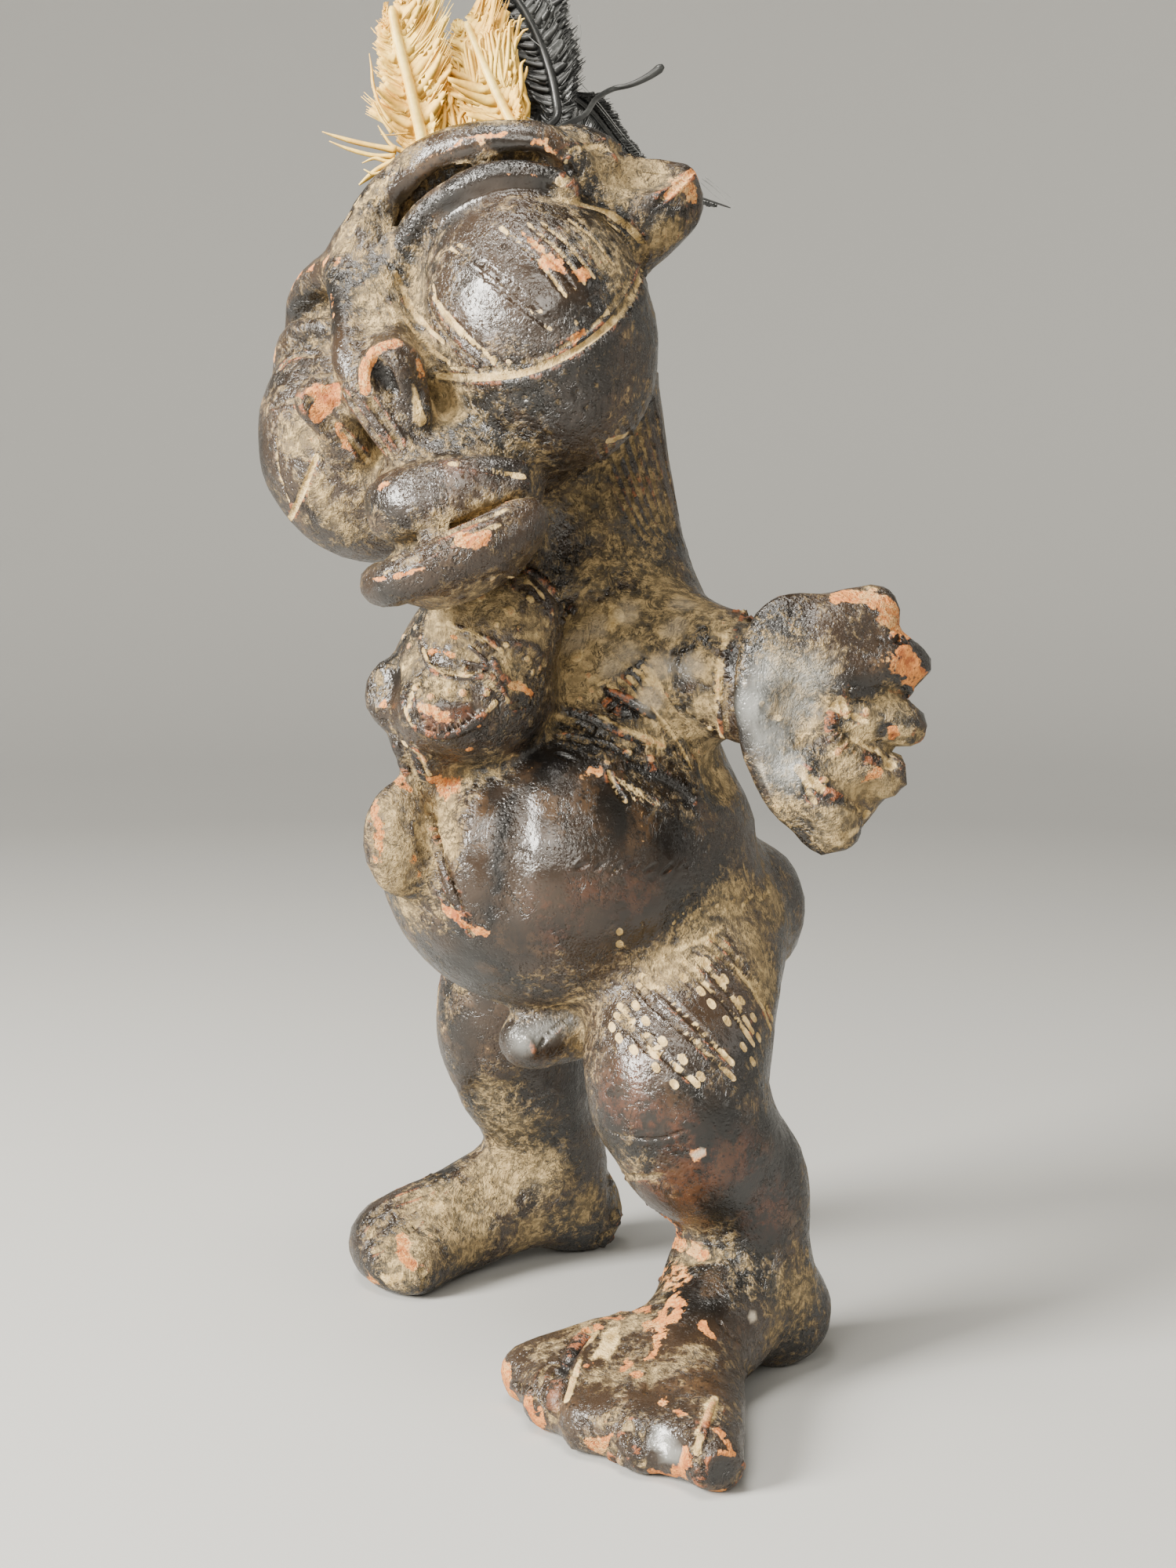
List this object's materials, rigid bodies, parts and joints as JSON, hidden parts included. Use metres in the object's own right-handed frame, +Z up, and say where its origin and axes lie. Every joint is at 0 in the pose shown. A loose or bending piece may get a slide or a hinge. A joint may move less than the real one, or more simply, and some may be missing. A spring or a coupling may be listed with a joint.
{
  "type": "anthropomorphic fetish figure",
  "caption": "Standing hollow-crowned clay figure with a tilted oversized head, raised open hand, fist under the chin, round belly, splayed feet and a tuft of feathers in the crown.",
  "frame": {"origin": "centre of the bounding box on the floor plane that both soles rest on", "axes": "+Z up; the figure faces -Y; its own left hand side is +X"},
  "size_m": [0.1979, 0.1589, 0.4144],
  "materials": {
    "clay": "burnished dark brown fired clay, glossy on the high places, ochre earth in the grooves, orange clay where chipped",
    "cream_feather": "cream to brownish feather barbs on a pale yellow shaft",
    "black_feather": "black feather barbs with a grey sheen on a dark shaft"
  },
  "bodies": {
    "root": {"clay_figure": "clay", "cream_feather_front": "cream_feather", "cream_feather_back": "cream_feather", "black_feather_upper": "black_feather", "black_feather_middle": "black_feather", "black_feather_side": "black_feather", "black_quill": "black_feather"}
  },
  "joints": []
}
